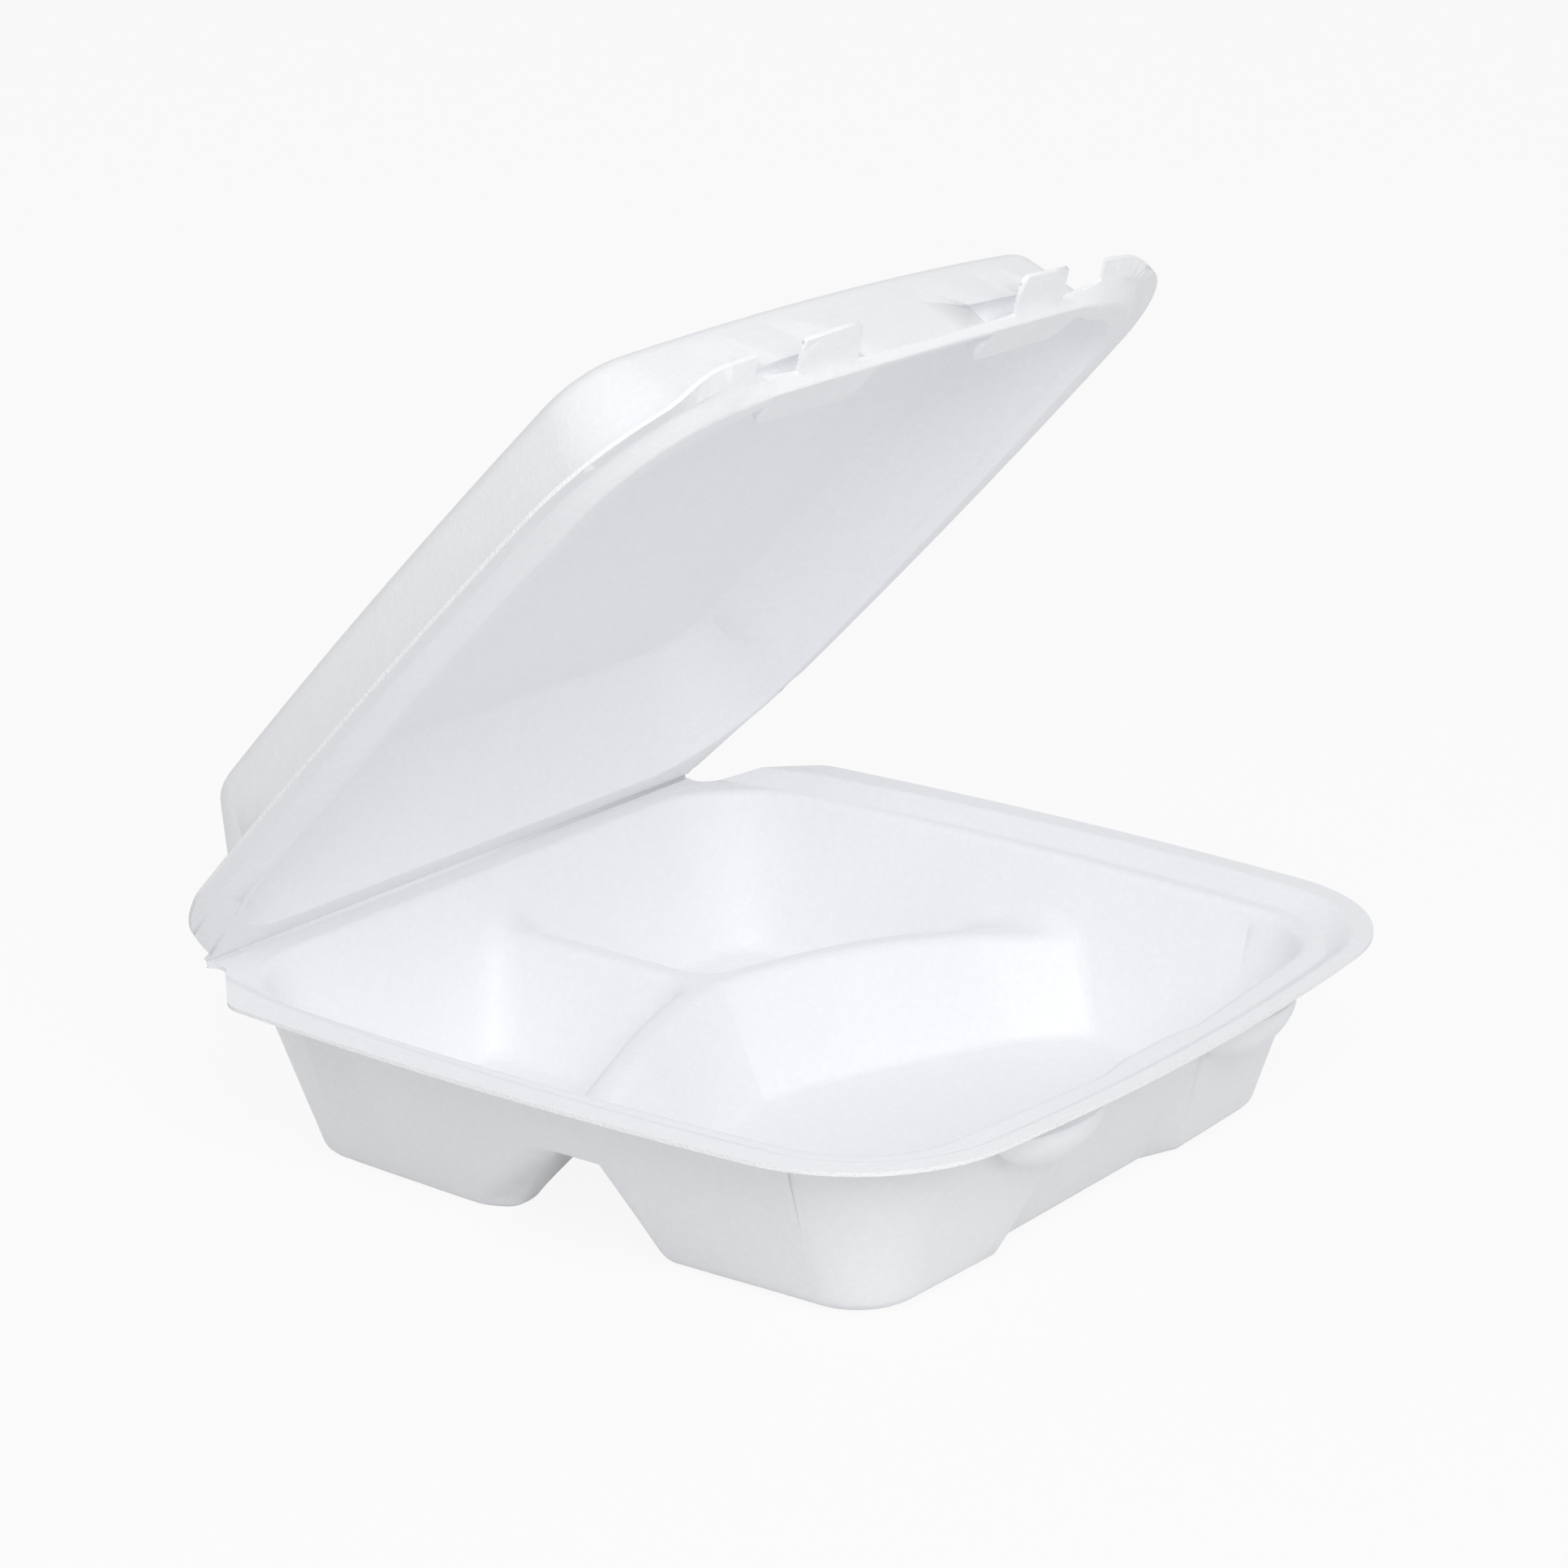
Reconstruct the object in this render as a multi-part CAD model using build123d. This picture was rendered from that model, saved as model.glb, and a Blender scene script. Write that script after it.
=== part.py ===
from build123d import *
import math
import os

# Millimetres. Both halves are drawn with the lid closed: hinge line on the X axis, latch
# side at -Y, left side at -X, and the plane Z = 0 halfway between the two facing rims.
# At the end they move so that the tray stands on Z = 0.

# ---- sheet ----
foam_wall = 2.3
rim_wall = 1.0
half_gap = 0.22

# ---- rim, seen from above ----
hinge_half = 95.0
notch_depth = 8.0
notch_inset = 1.3
shoulder_half = 118.6
shoulder_y = -31.0
shoulder_radius = 9.0
lid_hinge_run = 3.5
lid_shoulder_y = -37.0
lid_shoulder_bow = 3.0
lid_shoulder_radius = 16.0
rim_front_half = 113.0
rim_front_y = -222.5
rim_side_bow = 4.6
rim_front_bow = 9.0
rim_front_radius = 45.0
flange_width = 5.2
hinge_shoulder_radius = 0.9
crease_radius = 2.4

# ---- step inside the rim ----
rim_step = 3.6
foot_back_half = 93.4
foot_overrun = 8.0
foot_shoulder_half = 103.0
foot_shoulder_y = -33.0
foot_front_half = 99.5
foot_front_y = -214.5
foot_side_bow = 5.6
foot_front_bow = 8.0
foot_front_radius = 34.0
foot_shoulder_radius = 60.0
riser_run = 6.8
front_riser_run = 4.4

# ---- compartment wall, at the rim and at the floor ----
tray_back_half = 100.5
tray_back_y = -9.0
tray_front_half = 95.5
tray_front_y = -208.5
tray_front_mid_y = -216.0
tray_side_bow = 4.8
tray_back_radius = 32.0
tray_front_radius = 30.0
floor_back_half = 87.0
floor_back_y = -26.0
floor_front_half = 84.0
floor_front_y = -197.0
floor_front_mid_y = -198.5
floor_side_bow = 2.8
floor_back_radius = 14.0
floor_front_radius = 15.0
floor_depth = 42.2
mouth_radius = 2.6
floor_radius = 4.5

# ---- recessed panel in the front wall ----
panel_top_outer = 20.0
panel_top_inner = 8.0
panel_top_inset = 1.6
panel_foot_outer = 38.0
panel_foot_inner = 27.0
panel_foot_inset = 4.2

# ---- dividing ridges ----
ridge_depth = 14.0
ridge_top_width = 7.6
ridge_crown_radius = 3.2
ridge_end_radius = 9.0
junction_y = -84.0
junction_radius = 9.0
junction_front_radius = 3.0
ridge_mid_x = 50.0
ridge_mid_y = -99.5
ridge_end_x = 104.0
ridge_end_y = -139.0
ridge_draft = 13.0

# ---- lid ----
lid_height = 30.0
lid_top_back_half = 92.5
lid_top_back_y = -28.0
lid_top_front_half = 89.5
lid_top_front_y = -201.5
lid_top_side_bow = 4.0
lid_top_front_bow = 5.0
lid_top_back_radius = 16.0
lid_top_front_radius = 17.0
lid_crown_radius = 6.5
lid_foot_front_bow = 8.6
lid_open_angle = 46.0

# ---- latch ----
latch_x = 42.0
tab_width = 21.0
tab_end_y = -231.0
tab_radius = 3.5
trim_half = 69.0
trim_y = -224.0
slot_length = 33.0
slot_back_y = -221.2
slot_depth = 2.6
slot_rise = 1.0
lip_half = 20.0
lip_y = -225.3
lip_height = 11.0
lip_roof = 1.8
pocket_width = 38.0
pocket_height = 10.0
pocket_back_y = -208.0
pocket_radius = 5.0
pocket_draft = 14.0

# ---- shares and margins ----
half_share = 0.5
margin = 6.0

# ---- the point of the underside that comes to the origin ----
stand_y = -110.0


def bowed(start, end, bow):
    """Adds one edge of an outline, bulging outward by bow at its middle."""
    if bow == 0:
        Line(start, end)
        return
    run_x = end[0] - start[0]
    run_y = end[1] - start[1]
    length = math.hypot(run_x, run_y)
    middle = (
        (start[0] + end[0]) * half_share - run_y / length * bow,
        (start[1] + end[1]) * half_share + run_x / length * bow,
    )
    ThreePointArc(start, middle, end)


def plan_face(stations, height):
    """A face, symmetric in X, through stations given from back to front on the right.

    Each station holds its x, its y, the bow of the edge that follows and its radius."""
    with BuildSketch(Plane.XY.offset(height)) as plan:
        with BuildLine():
            for here, there in zip(stations, stations[1:]):
                bowed((here[0], here[1]), (there[0], there[1]), here[2])
            last = stations[-1]
            bowed((last[0], last[1]), (-last[0], last[1]), last[2])
            for there, here in zip(stations[-2::-1], stations[:0:-1]):
                bowed((-here[0], here[1]), (-there[0], there[1]), there[2])
            first = stations[0]
            Line((-first[0], first[1]), (first[0], first[1]))
        make_face()
        for x, y, _, radius in stations:
            if radius > 0:
                corners = [plan.vertices().sort_by_distance((side * x, y, 0))[0] for side in (1, -1)]
                fillet(corners, radius)
    return plan.sketch


def blend(first, second, share, grow):
    """Stations between two outlines, moved outward by grow."""
    mixed = []
    middle_y = (first[0][1] + first[-1][1]) * half_share
    for a, b in zip(first, second):
        x, y, bow, radius = [p + (q - p) * share for p, q in zip(a, b)]
        outward = grow if y > middle_y else -grow
        mixed.append((x + grow if x > 0 else x, y + outward, bow, radius + grow if radius > 0 else 0))
    return mixed


def rim_face(height, scooped=True):
    """The outer edge of a rim: the tray's is scooped at the hinge's ends, the lid's is rounded."""
    corner = (shoulder_half, shoulder_y) if scooped else (shoulder_half, lid_shoulder_y)
    with BuildSketch(Plane.XY.offset(height)) as plan:
        with BuildLine():
            notch_y = -notch_depth * half_share
            for side in (1, -1):
                hinge_end = (side * hinge_half, -half_gap)
                notch_mid = (side * (hinge_half - notch_inset), notch_y)
                notch_end = (side * (hinge_half + notch_inset), -notch_depth)
                shoulder = (side * corner[0], corner[1])
                front = (side * rim_front_half, rim_front_y)
                if scooped:
                    ThreePointArc(hinge_end, notch_mid, notch_end)
                    Line(notch_end, shoulder)
                else:
                    turn = (side * hinge_half, -lid_hinge_run)
                    Line(hinge_end, turn)
                    bowed(*((turn, shoulder) if side > 0 else (shoulder, turn)), lid_shoulder_bow)
                bowed(*((shoulder, front) if side > 0 else (front, shoulder)), rim_side_bow)
            bowed((rim_front_half, rim_front_y), (-rim_front_half, rim_front_y), rim_front_bow)
            Line((-hinge_half, -half_gap), (hinge_half, -half_gap))
        make_face()
        for x, y, radius in (
            (*corner, shoulder_radius if scooped else lid_shoulder_radius),
            (rim_front_half, rim_front_y, rim_front_radius),
        ):
            fillet([plan.vertices().sort_by_distance((side * x, y, 0))[0] for side in (1, -1)], radius)
    return plan.sketch


def step_space(foot_height):
    """The space inside the rim's step, from its foot past the flange's inner edge and up."""
    foot = [
        (foot_back_half, foot_overrun, 0, 0),
        (foot_shoulder_half, foot_shoulder_y, foot_side_bow, foot_shoulder_radius),
        (foot_front_half, foot_front_y, foot_front_bow, foot_front_radius),
    ]
    head = [
        (foot_back_half + riser_run, foot_overrun, 0, 0),
        (foot_shoulder_half + riser_run, foot_shoulder_y, foot_side_bow, foot_shoulder_radius),
        (
            foot_front_half + riser_run,
            foot_front_y - front_riser_run,
            foot_front_bow,
            foot_front_radius + riser_run,
        ),
    ]
    low = plan_face(foot, foot_height)
    high = plan_face(head, foot_height + rim_step)
    return loft([low.face(), high.face()], ruled=True) + extrude(high, amount=lid_height)


def tray_stations(depth, grow):
    """The wall of all three compartments at one depth under the rim."""
    top = [
        (tray_back_half, tray_back_y, tray_side_bow, tray_back_radius),
        (tray_front_half, tray_front_y, 0, tray_front_radius),
        (panel_top_outer, tray_front_mid_y, 0, 0),
        (panel_top_inner, tray_front_mid_y + panel_top_inset, 0, 0),
    ]
    floor = [
        (floor_back_half, floor_back_y, floor_side_bow, floor_back_radius),
        (floor_front_half, floor_front_y, 0, floor_front_radius),
        (panel_foot_outer, floor_front_mid_y, 0, 0),
        (panel_foot_inner, floor_front_mid_y + panel_foot_inset, 0, 0),
    ]
    return blend(top, floor, depth / floor_depth, grow)


def rounded(solid, edges, radius):
    """The solid with the edges rounded, more gently where the full radius doesn't fit."""
    for share in (1.0, 0.75, 0.5, 0.3):
        try:
            result = solid.fillet(radius * share, edges)
            if result.is_valid:
                return result
        except Exception:
            continue
    return solid


def ridge_block(grow):
    """The three dividing ridges as one block that reaches past the walls."""
    crown = -ridge_depth - grow
    slope = math.radians(ridge_draft)
    start = crown + margin
    width = ridge_top_width - 2 * (margin - grow) * math.tan(slope) - 2 * grow / math.cos(slope)
    height = floor_depth - ridge_depth + 2 * margin
    reach = tray_back_half + tray_side_bow + 2 * margin
    with BuildSketch(Plane.XY.offset(start)) as pods:
        with Locations((0, junction_y)):
            Rectangle(2 * (reach + 4 * margin), 2 * (reach + 7 * margin))
        for side in (1, -1):
            with BuildLine():
                arc = ThreePointArc(
                    (0, junction_y), (side * ridge_mid_x, ridge_mid_y), (side * ridge_end_x, ridge_end_y)
                )
                Line(arc @ 1, arc @ 1 + (arc % 1) * 10 * margin)
            trace(line_width=width, mode=Mode.SUBTRACT)
        with BuildLine():
            Line((0, junction_y), (0, junction_y + reach + 8 * margin))
        trace(line_width=width, mode=Mode.SUBTRACT)
        corners = [
            face.vertices().sort_by_distance((0, junction_y, 0))[0]
            for face in pods.faces().sort_by(Axis.Y)
        ]
        fillet(corners[0], junction_front_radius + grow)
        fillet(corners[1:], junction_radius + grow)
    block = Pos(0, junction_y, crown) * Box(
        2 * reach, 2 * (reach + 3 * margin), height, align=(Align.CENTER, Align.CENTER, Align.MAX)
    )
    for face in pods.sketch.faces():
        block -= extrude(face, amount=-height - 2 * margin, taper=ridge_draft)
    crowns = block.edges().filter_by_position(Axis.Z, crown, crown)
    inner = crowns.filter_by(lambda e: abs(e.center().X) < reach - margin)
    inner = inner.filter_by(lambda e: abs(e.center().Y - junction_y) < reach + 2 * margin)
    return rounded(block, inner, max(ridge_crown_radius - grow, ridge_crown_radius / 4))


def pods_hollow(grow):
    """The space of the three compartments, or with grow the outside of their walls."""
    depth = floor_depth + grow
    mouth = plan_face(tray_stations(-margin, grow), margin)
    floor = plan_face(tray_stations(depth, grow), -depth)
    space = loft([mouth.face(), floor.face()], ruled=True) - ridge_block(grow)
    walls = space.edges().filter_by_position(Axis.Z, -depth, -ridge_depth, (False, True))
    for side in (1, -1):
        beside = walls.filter_by_position(Axis.X, *sorted((side * floor_back_half, side * 2 * floor_back_half)))
        ends = beside.filter_by_position(Axis.Y, ridge_end_y - margin, ridge_mid_y)
        space = rounded(space, ends, ridge_end_radius - grow)
    behind = space.edges().filter_by_position(Axis.Z, -depth, -ridge_depth, (False, True))
    behind = behind.filter_by_position(Axis.Y, floor_back_y - 2 * margin, 0)
    behind = behind.filter_by_position(Axis.X, -3 * ridge_top_width, 3 * ridge_top_width)
    space = rounded(space, behind, ridge_end_radius - grow)
    for face in space.faces().filter_by_position(Axis.Z, -depth, -depth):
        space = rounded(space, face.edges(), floor_radius + grow)
    return space


def front_edge_y():
    """Where the rim lies furthest forward."""
    return rim_front_y - rim_front_bow


def lip_block(shrink, roof):
    """The rounded lip pulled out under a slot, or the pocket behind it, less the foam around it."""
    reach = tray_front_mid_y - lip_y - shrink
    bulge = scale(Sphere(1), by=(lip_half - shrink, reach, lip_height - shrink))
    below = Box(3 * lip_half, 3 * lip_half, 2 * lip_height, align=(Align.CENTER, Align.CENTER, Align.MAX))
    return Pos(0, tray_front_mid_y, -slot_depth) * (bulge & Pos(0, 0, -roof) * below)


def slot_block():
    """The cut through the front of the step that a tab passes."""
    length = slot_back_y - front_edge_y()
    height = slot_rise + slot_depth
    return Pos(0, front_edge_y(), -slot_depth) * Box(
        slot_length, length, height, align=(Align.CENTER, Align.MIN, Align.MIN)
    )


def creases(shape, height):
    """The edges between the step and the largest flat face at one height."""
    faces = shape.faces().filter_by_position(Axis.Z, height - margin / 100, height + margin / 100)
    edges = faces.sort_by(SortBy.AREA)[-1].outer_wire().edges()
    outlines = rim_face(height).edges() + rim_face(height, False).edges()
    return edges.filter_by(lambda e: min(line.distance_to(e.center()) for line in outlines) > half_gap)


def softened(rim, flange, ledge):
    """A rim with its two creases and its hinge shoulder rounded."""
    for height in (flange, ledge):
        rim = rounded(rim, creases(rim, height), crease_radius)
    hinge = rim.edges().filter_by_position(Axis.Z, ledge - margin / 100, ledge + margin / 100)
    return rounded(rim, hinge.filter_by_position(Axis.Y, -2 * half_gap, 0), hinge_shoulder_radius)


def base_tray():
    """The three-part tray with its ridges, rim and latch slots."""
    top = rim_step - half_gap
    low = -half_gap - rim_wall
    plate = extrude(rim_face(low), amount=rim_step + rim_wall)
    flange = extrude(rim_face(top - rim_wall), amount=rim_wall)
    rim = (plate & step_space(low)) + flange
    rim = softened(rim - step_space(-half_gap), top, -half_gap)
    body = pods_hollow(foam_wall)
    for side in (1, -1):
        body += Pos(side * latch_x, 0, 0) * lip_block(0, 0)
    body = split(body, Plane.XY.offset(-half_gap), keep=Keep.BOTTOM)
    tray = rim + body - pods_hollow(0)
    for side in (1, -1):
        tray -= Pos(side * latch_x, 0, 0) * lip_block(foam_wall, lip_roof)
        tray -= Pos(side * latch_x, 0, 0) * slot_block()
    ledge = tray.faces().filter_by_position(Axis.Z, -half_gap, -half_gap).sort_by(SortBy.AREA)[-1]
    tray = rounded(tray, ledge.inner_wires()[0].edges(), mouth_radius)
    return tray


def lid_stations(height, grow):
    """The wall of the lid at one height over the rim."""
    foot = [
        (tray_back_half, tray_back_y, tray_side_bow, tray_back_radius),
        (tray_front_half, tray_front_y, lid_foot_front_bow, tray_front_radius),
    ]
    head = [
        (
            lid_top_back_half - foam_wall,
            lid_top_back_y - foam_wall,
            lid_top_side_bow,
            lid_top_back_radius - foam_wall,
        ),
        (
            lid_top_front_half - foam_wall,
            lid_top_front_y + foam_wall,
            lid_top_front_bow,
            lid_top_front_radius - foam_wall,
        ),
    ]
    return blend(foot, head, height / lid_height, grow)


def lid_dome(start, grow):
    """The space under the lid from one height up, or with grow the outside of its walls."""
    height = lid_height - foam_wall + grow
    foot = plan_face(lid_stations(start, grow), start)
    head = plan_face(lid_stations(height, grow), height)
    dome = loft([foot.face(), head.face()], ruled=True)
    crown = dome.faces().sort_by(Axis.Z)[-1]
    return rounded(dome, crown.edges(), lid_crown_radius - foam_wall + grow)


def pocket_block(start, grow):
    """The scoop behind a tab, or with grow the bump it makes inside the lid."""
    length = pocket_back_y - front_edge_y()
    top = half_gap + rim_wall + pocket_height + grow
    with BuildSketch(Plane.XY.offset(start)) as plan:
        with Locations((0, front_edge_y() + (length + grow) * half_share)):
            RectangleRounded(pocket_width + 2 * grow, length + grow, pocket_radius + grow)
    block = extrude(plan.sketch, amount=top - start, taper=pocket_draft)
    return rounded(block, block.faces().sort_by(Axis.Z)[-1].edges(), pocket_radius * half_share + grow)


def lid():
    """The shallow lid, opened to its place in the photograph."""
    top = half_gap + rim_step
    plate = extrude(rim_face(half_gap, False), amount=rim_step + rim_wall)
    flange = extrude(rim_face(top, False), amount=rim_wall)
    rim = (plate & step_space(half_gap)) + flange
    cover = rim - step_space(half_gap + rim_wall)
    cover = softened(cover, top, half_gap)
    outside = lid_dome(half_gap, foam_wall)
    inside = lid_dome(-margin, 0)
    for side in (1, -1):
        outside -= Pos(side * latch_x, 0, 0) * pocket_block(half_gap + rim_wall, 0)
        inside -= Pos(side * latch_x, 0, 0) * pocket_block(-margin, foam_wall)
    cover += outside
    cover -= inside
    ledge = cover.faces().filter_by_position(Axis.Z, half_gap, half_gap).sort_by(SortBy.AREA)[-1]
    cover = rounded(cover, ledge.inner_wires()[0].edges(), mouth_radius)
    reach = trim_y - front_edge_y() + margin
    with BuildSketch(Plane.XY) as trim:
        with Locations((0, trim_y - reach * half_share)):
            Rectangle(2 * trim_half, reach)
        for side in (1, -1):
            length = trim_y - tab_end_y + margin
            with Locations((side * latch_x, tab_end_y + length * half_share)):
                RectangleRounded(tab_width, length, tab_radius, mode=Mode.SUBTRACT)
    cover -= extrude(trim.sketch, amount=lid_height)
    return cover.rotate(Axis.X, -lid_open_angle)


parts = {"base_tray": base_tray, "lid": lid}

if __name__ == "__main__":
    os.makedirs("parts", exist_ok=True)
    for name, make in parts.items():
        solid = Pos(0, -stand_y, floor_depth + foam_wall) * make()
        solid.label = name
        export_step(solid, f"parts/{name}.step")
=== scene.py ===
import math

import bmesh
import bpy
from mathutils import Matrix, Vector


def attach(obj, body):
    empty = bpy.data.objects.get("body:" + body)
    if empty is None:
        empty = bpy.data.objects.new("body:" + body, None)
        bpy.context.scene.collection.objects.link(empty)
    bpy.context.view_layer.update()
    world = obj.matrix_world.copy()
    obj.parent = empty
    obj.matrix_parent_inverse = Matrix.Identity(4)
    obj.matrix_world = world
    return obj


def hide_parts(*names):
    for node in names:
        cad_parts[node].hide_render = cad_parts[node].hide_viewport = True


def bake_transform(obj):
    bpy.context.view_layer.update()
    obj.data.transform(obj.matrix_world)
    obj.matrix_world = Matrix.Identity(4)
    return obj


# Metres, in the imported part's frame: the tray stands on Z = 0 and the latch side is -Y.
# The lid's rim has its height in the shut container.

HINGE_Y = 0.110
HINGE_Z = 0.0445
HINGE_HALF = 0.0944
LID_ANGLE = math.radians(46.0)
HALF_GAP = 0.00022
RIM_RISE = 0.00338
RIM_WALL = 0.0010
RIM_TOP = HINGE_Z + RIM_RISE
LID_RIM_FOOT = RIM_TOP + 2 * HALF_GAP

# the divided tray: its curved ridge follows a circle through three places, mirrored about X = 0;
# its flanks lean out near that line and not at all beyond RIDGE_FAR of it

RIDGE_ARC = ((0.0, 0.026), (0.050, 0.0105), (0.104, -0.029))
RIDGE_CROWN_Z = HINGE_Z - 0.014
RIDGE_DEEP = 0.0282
RIDGE_NEAR = 0.014
RIDGE_FAR = 0.050
RIDGE_LEAN = 0.24
RIDGE_CROWN_SOFT = 0.003
RIDGE_MIDDLE_FADE = 0.020
RIM_KEPT_Z = HINGE_Z - 0.001
RIM_FREE_Z = HINGE_Z - 0.010

# each end of the curved ridge: its flare at the side wall, and how far it lies back and down

FLARE = 0.003
FLARE_LEAN = 0.10
FLARE_START = 0.074
FLARE_END = 0.090
END_SHIFT = 0.008
END_DROP = 0.0045
END_START = 0.045
END_FULL = 0.095
CREST_NEAR = 0.008
CREST_FAR = 0.030

# where the short middle ridge leaves the curved one

JUNCTION_START_Y = 0.022
JUNCTION_FULL_Y = 0.036

# the lid's front edge, measured from the hinge line with the lid shut: each step of the trim is a
# place along Y and where it is drawn in to, and the curl lifts what stands free

TRIM_STEPS = ((-0.205, -0.205), (-0.216, -0.2195), (-0.224, -0.2220), (-0.231, -0.231))
TRIM_FADE_START = 0.063
TRIM_FADE_END = 0.071
TRIM_LOW = 0.006
TRIM_HIGH = 0.024
EDGE_SIDE_Y = -0.2225
EDGE_BOW = 0.009
EDGE_HALF = 0.113
CURL_RISE = 0.003
CURL_WIDTH = 0.0052
CURL_FADE_START = 0.080
CURL_FADE_END = 0.105

# the pressed hinge line, and where its bend starts and ends across it

WEB_DEPTH = 0.0009
WEB_LAP = 0.0014
WEB_ROUND = 0.0004
WEB_FILM = 0.0004

# facets that share a corner are joined within this reach
WELD_REACH = 0.00001

# the foam: colours, grain per metre, and how much each grain counts

FOAM_COLOUR = (0.932, 0.936, 0.950, 1.0)
FOAM_SHADE = (0.880, 0.888, 0.908, 1.0)
# painted glow on the foam: an even emission standing in for light let through the thin sheet
FOAM_PAINTED_GLOW = (0.93, 0.95, 1.0, 1.0)
FOAM_PAINTED_GLOW_STRENGTH = 0.05
FOAM_IOR = 1.45
FOAM_SPECULAR = 0.42
FOAM_DULL = 0.50
FOAM_SLEEK = 0.40
SHADE_LIFT = 0.35
CELLS = 900.0
WAVES = 55.0
SPECKLE_PER_CELL = 0.55
SPECKLE_HEIGHT = 0.8
WAVE_HEIGHT = 3.0
PIT_FLOOR = 0.45
PIT_GAIN = 2.2
WAVE_SHADE = 0.35
CUT_COLOUR = (0.930, 0.933, 0.940, 1.0)
CUT_ROUGHNESS = 0.85
CUT_UPRIGHT = 0.5
CUT_CELLS = 1500.0
CUT_WAVES = 300.0
CUT_CELL_SHARE = 3.0
BUMP_STRENGTH = 0.55
BUMP_DEPTH = 0.00012

# the studio

WHITE = (1.0, 1.0, 1.0, 1.0)
FLOOR_HALF = 6.0
FLOOR_COLOUR = (0.74, 0.74, 0.74, 1.0)
FLOOR_ROUGHNESS = 0.9
FLOOR_WHITE = 0.90
WORLD_COLOUR = (0.985, 0.990, 1.0, 1.0)
WORLD_STRENGTH = 0.60
KEY_AT = (-0.78, -0.95, 1.00)
KEY_AIM = (0.0, 0.0, 0.08)
KEY_SIDE = 0.8
KEY_POWER = 9.6
CAMERA_AT = (-0.7803, -0.5975, 0.4091)
CAMERA_LOOK = (0.7538, 0.5795, -0.3101)
CAMERA_LENS = 96.32
CAMERA_SENSOR = 36.0


# shader nodes


def socket(tree, name, kind, way, value=None):
    made = tree.interface.new_socket(name=name, in_out=way, socket_type=kind)
    if value is not None:
        made.default_value = value


def add(tree, kind, **values):
    node = tree.nodes.new(kind)
    for name, value in values.items():
        setattr(node, name, value)
    return node


def maths(tree, operation, first, second=None, clamp=False):
    node = add(tree, "ShaderNodeMath", operation=operation, use_clamp=clamp)
    for place, value in enumerate((first, second)):
        if value is None:
            continue
        if isinstance(value, (int, float)):
            node.inputs[place].default_value = value
        else:
            tree.links.new(value, node.inputs[place])
    return node.outputs[0]


def noise(tree, place, scale, detail, roughness):
    made = add(tree, "ShaderNodeTexNoise")
    made.inputs["Detail"].default_value = detail
    made.inputs["Roughness"].default_value = roughness
    tree.links.new(place, made.inputs["Vector"])
    tree.links.new(scale, made.inputs["Scale"])
    return made.outputs["Fac"]


def foam_grain_group():
    """Foam seen close: its cells, fine speckle and the slow unevenness of the moulded sheet."""
    tree = bpy.data.node_groups.new("foam_grain", "ShaderNodeTree")
    socket(tree, "Vector", "NodeSocketVector", "INPUT")
    socket(tree, "Cells per metre", "NodeSocketFloat", "INPUT", CELLS)
    socket(tree, "Waves per metre", "NodeSocketFloat", "INPUT", WAVES)
    socket(tree, "Cell share", "NodeSocketFloat", "INPUT", 1.0)
    socket(tree, "Height", "NodeSocketFloat", "OUTPUT")
    socket(tree, "Shade", "NodeSocketFloat", "OUTPUT")
    given = add(tree, "NodeGroupInput")
    result = add(tree, "NodeGroupOutput")
    link = tree.links.new
    place = given.outputs["Vector"]
    per_metre = given.outputs["Cells per metre"]

    cells = add(tree, "ShaderNodeTexVoronoi", feature="F1")
    link(place, cells.inputs["Vector"])
    link(per_metre, cells.inputs["Scale"])
    speckle_scale = maths(tree, "MULTIPLY", per_metre, SPECKLE_PER_CELL)
    speckle = noise(tree, place, speckle_scale, detail=3.0, roughness=0.65)
    waves = noise(tree, place, given.outputs["Waves per metre"], detail=2.0, roughness=0.4)

    cell_height = maths(tree, "MULTIPLY", cells.outputs["Distance"], given.outputs["Cell share"])
    fine = maths(tree, "ADD", cell_height, maths(tree, "MULTIPLY", speckle, SPECKLE_HEIGHT))
    slow = maths(tree, "MULTIPLY", waves, WAVE_HEIGHT)
    link(maths(tree, "ADD", fine, slow), result.inputs["Height"])

    pits = maths(tree, "SUBTRACT", speckle, PIT_FLOOR)
    pits = maths(tree, "MULTIPLY", pits, PIT_GAIN, clamp=True)
    drift = maths(tree, "MULTIPLY", waves, WAVE_SHADE)
    link(maths(tree, "ADD", pits, drift), result.inputs["Shade"])
    return tree


def placed_grain(tree, grain, place, cells, waves, cell_share):
    made = add(tree, "ShaderNodeGroup", node_tree=grain)
    made.inputs["Cells per metre"].default_value = cells
    made.inputs["Waves per metre"].default_value = waves
    made.inputs["Cell share"].default_value = cell_share
    tree.links.new(place, made.inputs["Vector"])
    return made


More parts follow.
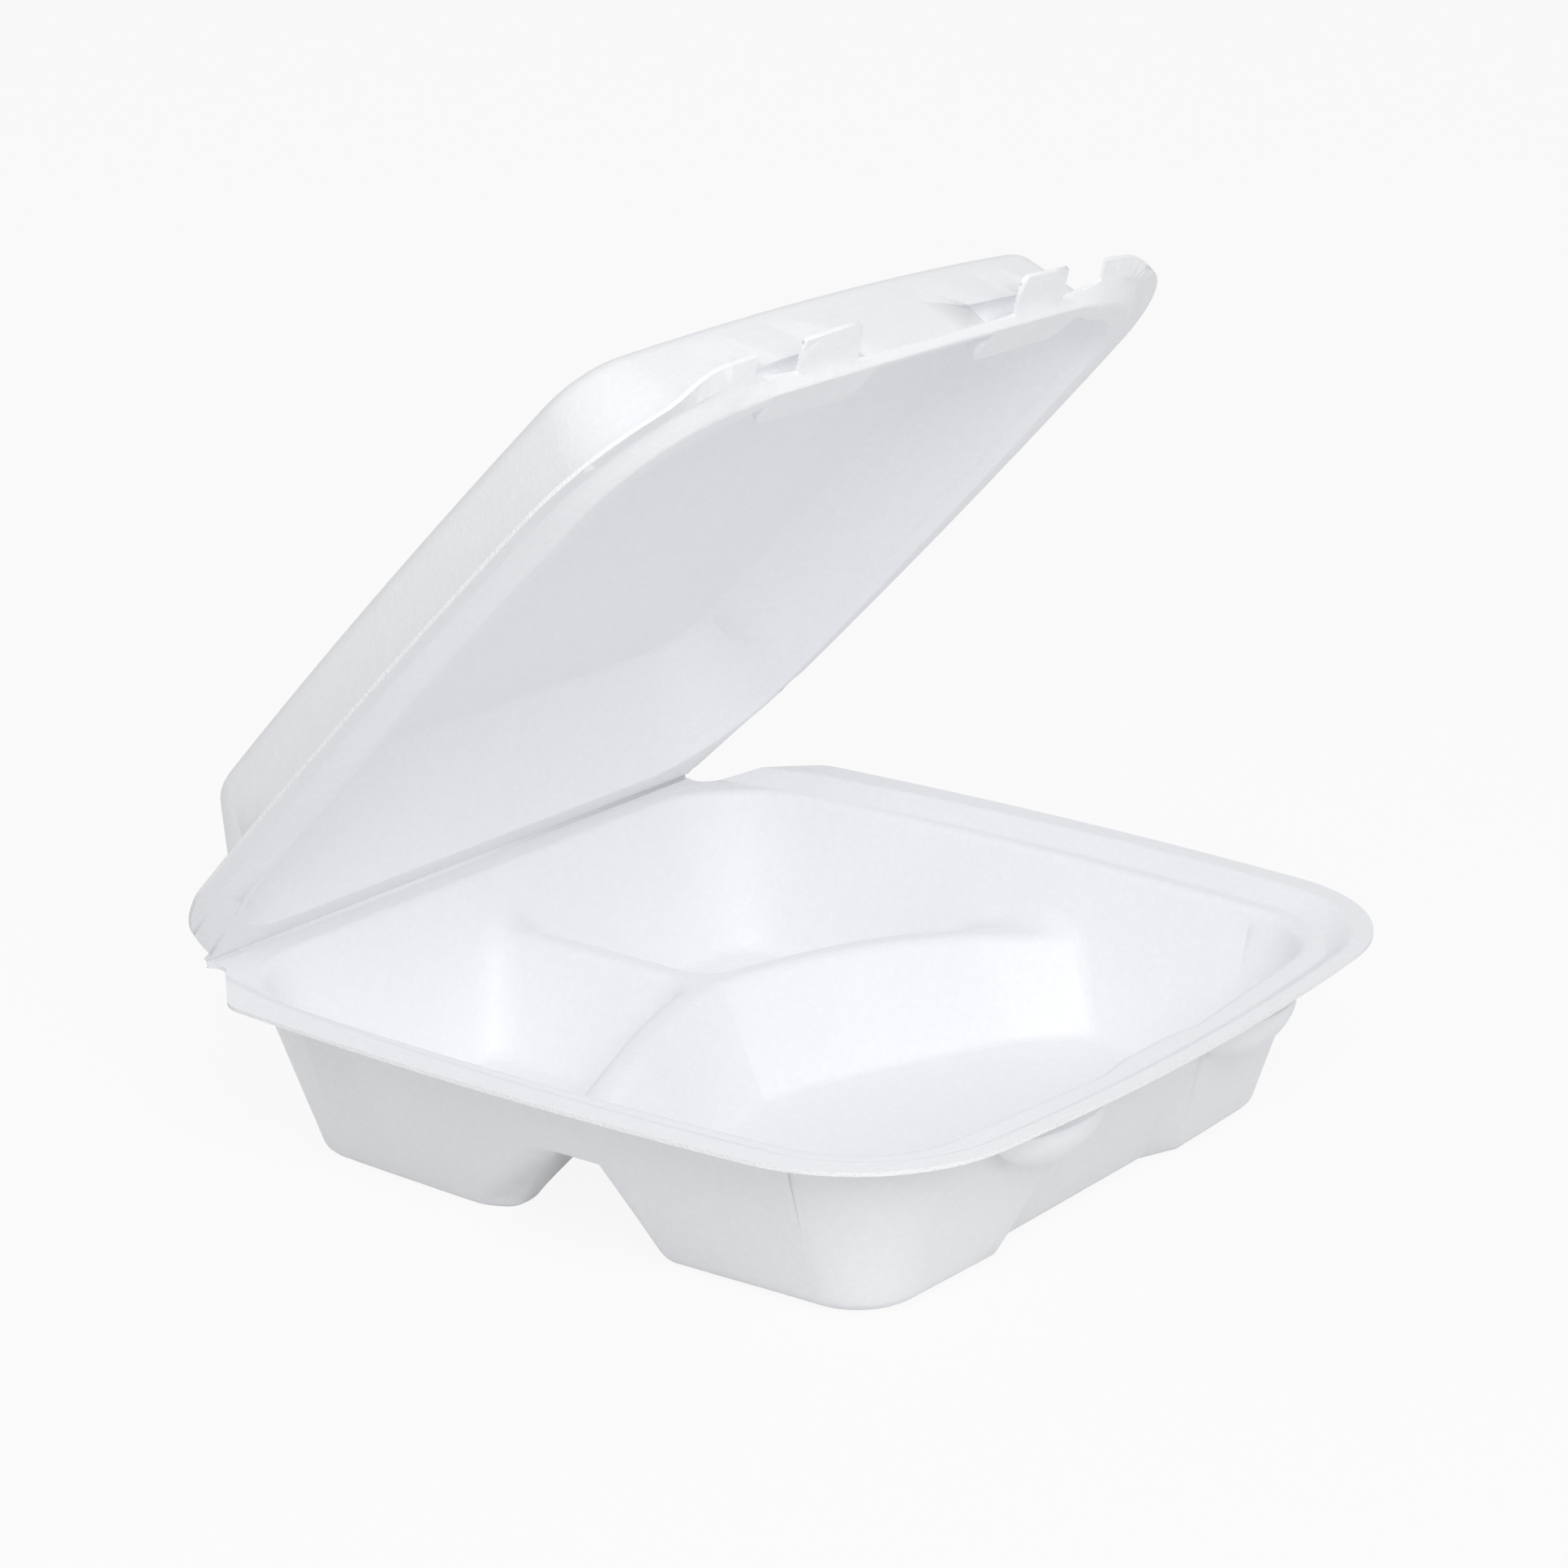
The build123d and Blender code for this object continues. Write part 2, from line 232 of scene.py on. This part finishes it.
def cut_edge_mask(tree, coordinates, low, high, turn):
    """1 on upright faces between two heights of the shut container, which is the rim's die-cut edge."""
    link = tree.links.new
    shut = add(tree, "ShaderNodeVectorRotate", rotation_type="X_AXIS")
    shut.inputs["Angle"].default_value = turn
    shut.inputs["Center"].default_value = (0.0, HINGE_Y, HINGE_Z)
    link(coordinates.outputs["Object"], shut.inputs["Vector"])
    facing = add(tree, "ShaderNodeVectorRotate", rotation_type="X_AXIS")
    facing.inputs["Angle"].default_value = turn
    link(coordinates.outputs["Normal"], facing.inputs["Vector"])
    place_parts = add(tree, "ShaderNodeSeparateXYZ")
    link(shut.outputs[0], place_parts.inputs[0])
    facing_parts = add(tree, "ShaderNodeSeparateXYZ")
    link(facing.outputs[0], facing_parts.inputs[0])

    upright = maths(tree, "ABSOLUTE", facing_parts.outputs["Z"])
    upright = maths(tree, "LESS_THAN", upright, CUT_UPRIGHT)
    above = maths(tree, "GREATER_THAN", place_parts.outputs["Z"], low)
    below = maths(tree, "LESS_THAN", place_parts.outputs["Z"], high)
    return maths(tree, "MULTIPLY", maths(tree, "MULTIPLY", above, below), upright)


# materials


def foam_material(name, grain, cut_low, cut_high, turn=0.0):
    """White foam with a soft sheen; the die-cut edge of its rim shows open cells."""
    made = bpy.data.materials.new(name)
    made.use_nodes = True
    tree = made.node_tree
    link = tree.links.new
    shader = tree.nodes["Principled BSDF"]
    shader.inputs["IOR"].default_value = FOAM_IOR
    shader.inputs["Specular IOR Level"].default_value = FOAM_SPECULAR
    # painted glow: an even emission that lifts the foam's brightness, standing in for daylight that thin
    # foam lets through from its other side
    shader.inputs["Emission Color"].default_value = FOAM_PAINTED_GLOW
    shader.inputs["Emission Strength"].default_value = FOAM_PAINTED_GLOW_STRENGTH

    coordinates = add(tree, "ShaderNodeTexCoord")
    place = coordinates.outputs["Object"]
    skin = placed_grain(tree, grain, place, CELLS, WAVES, 1.0)
    open_cells = placed_grain(tree, grain, place, CUT_CELLS, CUT_WAVES, CUT_CELL_SHARE)
    cut = cut_edge_mask(tree, coordinates, cut_low, cut_high, turn)

    tone = add(tree, "ShaderNodeMix", data_type="RGBA")
    tone.inputs["A"].default_value = FOAM_SHADE
    tone.inputs["B"].default_value = FOAM_COLOUR
    link(maths(tree, "ADD", skin.outputs["Shade"], SHADE_LIFT, clamp=True), tone.inputs["Factor"])
    paint = add(tree, "ShaderNodeMix", data_type="RGBA")
    paint.inputs["B"].default_value = CUT_COLOUR
    link(cut, paint.inputs["Factor"])
    link(tone.outputs["Result"], paint.inputs["A"])
    link(paint.outputs["Result"], shader.inputs["Base Color"])

    gloss = add(tree, "ShaderNodeMapRange")
    gloss.inputs["To Min"].default_value = FOAM_DULL
    gloss.inputs["To Max"].default_value = FOAM_SLEEK
    link(skin.outputs["Shade"], gloss.inputs["Value"])
    cut_roughness = maths(tree, "MULTIPLY", cut, CUT_ROUGHNESS)
    link(maths(tree, "MAXIMUM", gloss.outputs["Result"], cut_roughness), shader.inputs["Roughness"])

    relief = add(tree, "ShaderNodeMix", data_type="FLOAT")
    link(cut, relief.inputs["Factor"])
    link(skin.outputs["Height"], relief.inputs["A"])
    link(open_cells.outputs["Height"], relief.inputs["B"])
    bump = add(tree, "ShaderNodeBump")
    bump.inputs["Strength"].default_value = BUMP_STRENGTH
    bump.inputs["Distance"].default_value = BUMP_DEPTH
    link(relief.outputs["Result"], bump.inputs["Height"])
    link(bump.outputs["Normal"], shader.inputs["Normal"])
    return made


def floor_material():
    """A pale floor that reads white to the camera and keeps the soft shadow."""
    made = bpy.data.materials.new("pale_floor")
    made.use_nodes = True
    tree = made.node_tree
    link = tree.links.new
    shader = tree.nodes["Principled BSDF"]
    shader.inputs["Base Color"].default_value = FLOOR_COLOUR
    shader.inputs["Roughness"].default_value = FLOOR_ROUGHNESS
    shader.inputs["Specular IOR Level"].default_value = 0.0
    white = add(tree, "ShaderNodeEmission")
    white.inputs["Color"].default_value = WHITE
    white.inputs["Strength"].default_value = 1.0
    path = add(tree, "ShaderNodeLightPath")
    seen = maths(tree, "MAXIMUM", path.outputs["Is Camera Ray"], path.outputs["Is Glossy Ray"])
    mix = add(tree, "ShaderNodeMixShader")
    link(maths(tree, "MULTIPLY", seen, FLOOR_WHITE), mix.inputs["Fac"])
    link(shader.outputs["BSDF"], mix.inputs[1])
    link(white.outputs["Emission"], mix.inputs[2])
    link(mix.outputs["Shader"], tree.nodes["Material Output"].inputs["Surface"])
    return made


# how the sheet's points move


def eased(value, low, high):
    """0 at low, 1 at high and the same beyond them, with a soft start and end."""
    share = min(max((value - low) / (high - low), 0.0), 1.0)
    return share * share * (3.0 - 2.0 * share)


def circle_through(first, second, third):
    (ax, ay), (bx, by), (cx, cy) = first, second, third
    scale = 2.0 * (ax * (by - cy) + bx * (cy - ay) + cx * (ay - by))
    a2, b2, c2 = ax * ax + ay * ay, bx * bx + by * by, cx * cx + cy * cy
    x = (a2 * (by - cy) + b2 * (cy - ay) + c2 * (ay - by)) / scale
    y = (a2 * (cx - bx) + b2 * (ax - cx) + c2 * (bx - ax)) / scale
    return x, y, math.hypot(ax - x, ay - y)


def splayed(point, circle):
    """Ridge flanks that lean out towards the floor and flare at the side walls, and lower ridge ends."""
    depth = min(max(RIDGE_CROWN_Z - point.z, 0.0), RIDGE_DEEP)
    below_rim = eased(point.z, RIM_KEPT_Z, RIM_FREE_Z)
    side = 1.0 if point.x >= 0 else -1.0
    from_middle = abs(point.x)

    # the curved ridge: how far off its line the point lies, and which way leads away from it
    across, along = from_middle - circle[0], point.y - circle[1]
    reach = math.hypot(across, along)
    off = reach - circle[2]
    way = (across / reach, along / reach)
    near = 1.0 - eased(abs(off), RIDGE_NEAR, RIDGE_FAR)
    end = eased(from_middle, FLARE_START, FLARE_END)
    lean = RIDGE_LEAN * depth + end * (FLARE + FLARE_LEAN * depth) * below_rim
    push = near * lean * math.tanh(off / RIDGE_CROWN_SOFT)
    push_x = push * way[0] * (1.0 - end) * eased(from_middle, 0.0, RIDGE_MIDDLE_FADE)
    push_y = push * (way[1] * (1.0 - end) + math.copysign(end, way[1]))

    # its ends lie further back, and their crest is lower
    outer = eased(from_middle, END_START, END_FULL) * below_rim
    crest = (1.0 - eased(abs(off), CREST_NEAR, CREST_FAR)) * (1.0 - depth / RIDGE_DEEP)

    # the short ridge between the two back compartments
    middle = (1.0 - eased(from_middle, RIDGE_NEAR, RIDGE_FAR)) * RIDGE_LEAN * depth
    middle *= math.tanh(point.x / RIDGE_CROWN_SOFT)
    middle *= eased(point.y, JUNCTION_START_Y, JUNCTION_FULL_Y)
    return Vector((
        point.x + side * push_x + middle,
        point.y + push_y + near * END_SHIFT * outer,
        point.z - END_DROP * crest * outer,
    ))


def through_steps(value, steps):
    """value carried along a line of (from, to) steps, and left as it is beyond them."""
    for (first, first_to), (last, last_to) in zip(steps, steps[1:]):
        if last <= value <= first:
            return first_to + (last_to - first_to) * (value - first) / (last - first)
    return value


def curled(point, closing, opening):
    """The lid's front edge is trimmed close to its wall; the tabs and the flange's ends curl away."""
    flat = closing @ point
    from_middle = abs(flat.x)
    edge = EDGE_SIDE_Y - EDGE_BOW * (1.0 - (flat.x / EDGE_HALF) ** 2)
    rise = CURL_RISE * (1.0 - eased(flat.y - edge, 0.0, CURL_WIDTH))
    rise *= 1.0 - eased(from_middle, CURL_FADE_START, CURL_FADE_END)
    close = 1.0 - eased(from_middle, TRIM_FADE_START, TRIM_FADE_END)
    close *= 1.0 - eased(flat.z, TRIM_LOW, TRIM_HIGH)
    flat.y += close * (through_steps(flat.y, TRIM_STEPS) - flat.y)
    flat.z += rise
    return opening @ flat


# pieces


def dressed(node, material):
    """A packed half keeps its shape and gets its foam."""
    node.data.materials.clear()
    node.data.materials.append(material)
    return node


def skin_over(node, name, move):
    """A skin that stands for a packed half: a copy of its mesh, each point moved by one smooth rule."""
    mesh = node.data.copy()
    mesh.name = name
    for vertex in mesh.vertices:
        vertex.co = move(vertex.co.copy())
    mesh.update()
    skin = bpy.data.objects.new(name, mesh)
    bpy.context.scene.collection.objects.link(skin)
    weld = skin.modifiers.new("join_facets", "WELD")
    weld.merge_threshold = WELD_REACH
    return skin


def new_piece(name, shape, material, smooth=True):
    mesh = bpy.data.meshes.new(name)
    shape.normal_update()
    shape.to_mesh(mesh)
    shape.free()
    mesh.materials.append(material)
    for face in mesh.polygons:
        face.use_smooth = smooth
    piece = bpy.data.objects.new(name, mesh)
    bpy.context.scene.collection.objects.link(piece)
    return piece


def hinge_web(material):
    """The thin pressed line that joins the two halves, folded to the lid's angle."""
    shape = bmesh.new()
    fold = Matrix.Rotation(-LID_ANGLE, 4, "X")
    profile = [
        Vector((0, -WEB_LAP, -WEB_DEPTH)),
        Vector((0, -HALF_GAP, -WEB_DEPTH)),
        fold @ Vector((0, -HALF_GAP, WEB_DEPTH)),
        fold @ Vector((0, -WEB_LAP, WEB_DEPTH)),
    ]
    line = [shape.verts.new(Vector((-HINGE_HALF, HINGE_Y, HINGE_Z)) + point) for point in profile]
    edges = [shape.edges.new((first, second)) for first, second in zip(line, line[1:])]
    grown = bmesh.ops.extrude_edge_only(shape, edges=edges)
    moved = [part for part in grown["geom"] if isinstance(part, bmesh.types.BMVert)]
    bmesh.ops.translate(shape, verts=moved, vec=(2 * HINGE_HALF, 0, 0))
    bmesh.ops.bevel(
        shape,
        geom=[edge for edge in shape.edges if len(edge.link_faces) == 2],
        offset=WEB_ROUND,
        offset_type="OFFSET",
        segments=3,
        profile=0.5,
        affect="EDGES",
        material=-1,
    )
    bmesh.ops.recalc_face_normals(shape, faces=shape.faces)
    piece = new_piece("hinge_web", shape, material)
    thick = piece.modifiers.new("film", "SOLIDIFY")
    thick.thickness = WEB_FILM
    thick.offset = 0.0
    return piece


def pale_floor(material):
    shape = bmesh.new()
    bmesh.ops.create_grid(shape, x_segments=1, y_segments=1, size=FLOOR_HALF)
    return new_piece("pale_floor", shape, material, smooth=False)


# light and camera


def area_lamp(name, at, aim, side, power):
    data = bpy.data.lights.new(name, "AREA")
    data.shape = "SQUARE"
    data.size = side
    data.energy = power
    lamp = bpy.data.objects.new(name, data)
    lamp.location = at
    lamp.rotation_mode = "QUATERNION"
    lamp.rotation_quaternion = (Vector(aim) - Vector(at)).to_track_quat("-Z", "Y")
    bpy.context.scene.collection.objects.link(lamp)


def background(tree, colour, strength):
    made = add(tree, "ShaderNodeBackground")
    made.inputs["Color"].default_value = colour
    made.inputs["Strength"].default_value = strength
    return made.outputs["Background"]


def white_world():
    """Even daylight on the part, and white behind it."""
    world = bpy.data.worlds.new("soft_studio")
    bpy.context.scene.world = world
    world.use_nodes = True
    tree = world.node_tree
    tree.nodes.clear()
    link = tree.links.new
    path = add(tree, "ShaderNodeLightPath")
    mix = add(tree, "ShaderNodeMixShader")
    out = add(tree, "ShaderNodeOutputWorld")
    link(path.outputs["Is Camera Ray"], mix.inputs["Fac"])
    link(background(tree, WORLD_COLOUR, WORLD_STRENGTH), mix.inputs[1])
    link(background(tree, WHITE, 1.0), mix.inputs[2])
    link(mix.outputs["Shader"], out.inputs["Surface"])


def camera():
    data = bpy.data.cameras.new("photo_view")
    data.lens = CAMERA_LENS
    data.sensor_width = CAMERA_SENSOR
    made = bpy.data.objects.new("photo_view", data)
    made.location = CAMERA_AT
    made.rotation_mode = "QUATERNION"
    made.rotation_quaternion = Vector(CAMERA_LOOK).to_track_quat("-Z", "Y")
    bpy.context.scene.collection.objects.link(made)
    bpy.context.scene.camera = made


# the scene

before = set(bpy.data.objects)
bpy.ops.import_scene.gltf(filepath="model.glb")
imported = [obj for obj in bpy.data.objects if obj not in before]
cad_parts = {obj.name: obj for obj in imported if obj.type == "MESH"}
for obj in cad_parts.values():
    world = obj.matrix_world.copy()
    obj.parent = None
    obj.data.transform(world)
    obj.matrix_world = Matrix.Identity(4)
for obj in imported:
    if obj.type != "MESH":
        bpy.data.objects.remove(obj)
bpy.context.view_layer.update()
bpy.context.scene.view_settings.view_transform = "Standard"

grain = foam_grain_group()
tray_foam = foam_material("tray_foam", grain, RIM_TOP - RIM_WALL, RIM_TOP)
lid_foam = foam_material("lid_foam", grain, LID_RIM_FOOT, LID_RIM_FOOT + RIM_WALL, turn=LID_ANGLE)

ridge_circle = circle_through(*RIDGE_ARC)
tray_half = dressed(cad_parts["base_tray"], tray_foam)
tray_skin = skin_over(tray_half, "tray_skin", lambda point: splayed(point, ridge_circle))
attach(tray_skin, "tray")
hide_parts("base_tray")

at_hinge = Matrix.Translation((0.0, HINGE_Y, HINGE_Z))
opening = at_hinge @ Matrix.Rotation(-LID_ANGLE, 4, "X")
closing = opening.inverted()
lid_half = dressed(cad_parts["lid"], lid_foam)
lid_skin = skin_over(lid_half, "lid_skin", lambda point: curled(point, closing, opening))
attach(lid_skin, "cover")
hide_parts("lid")

web = hinge_web(tray_foam)
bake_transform(web)

pale_floor(floor_material())
white_world()
area_lamp("key_front_left", KEY_AT, KEY_AIM, KEY_SIDE, KEY_POWER)
camera()
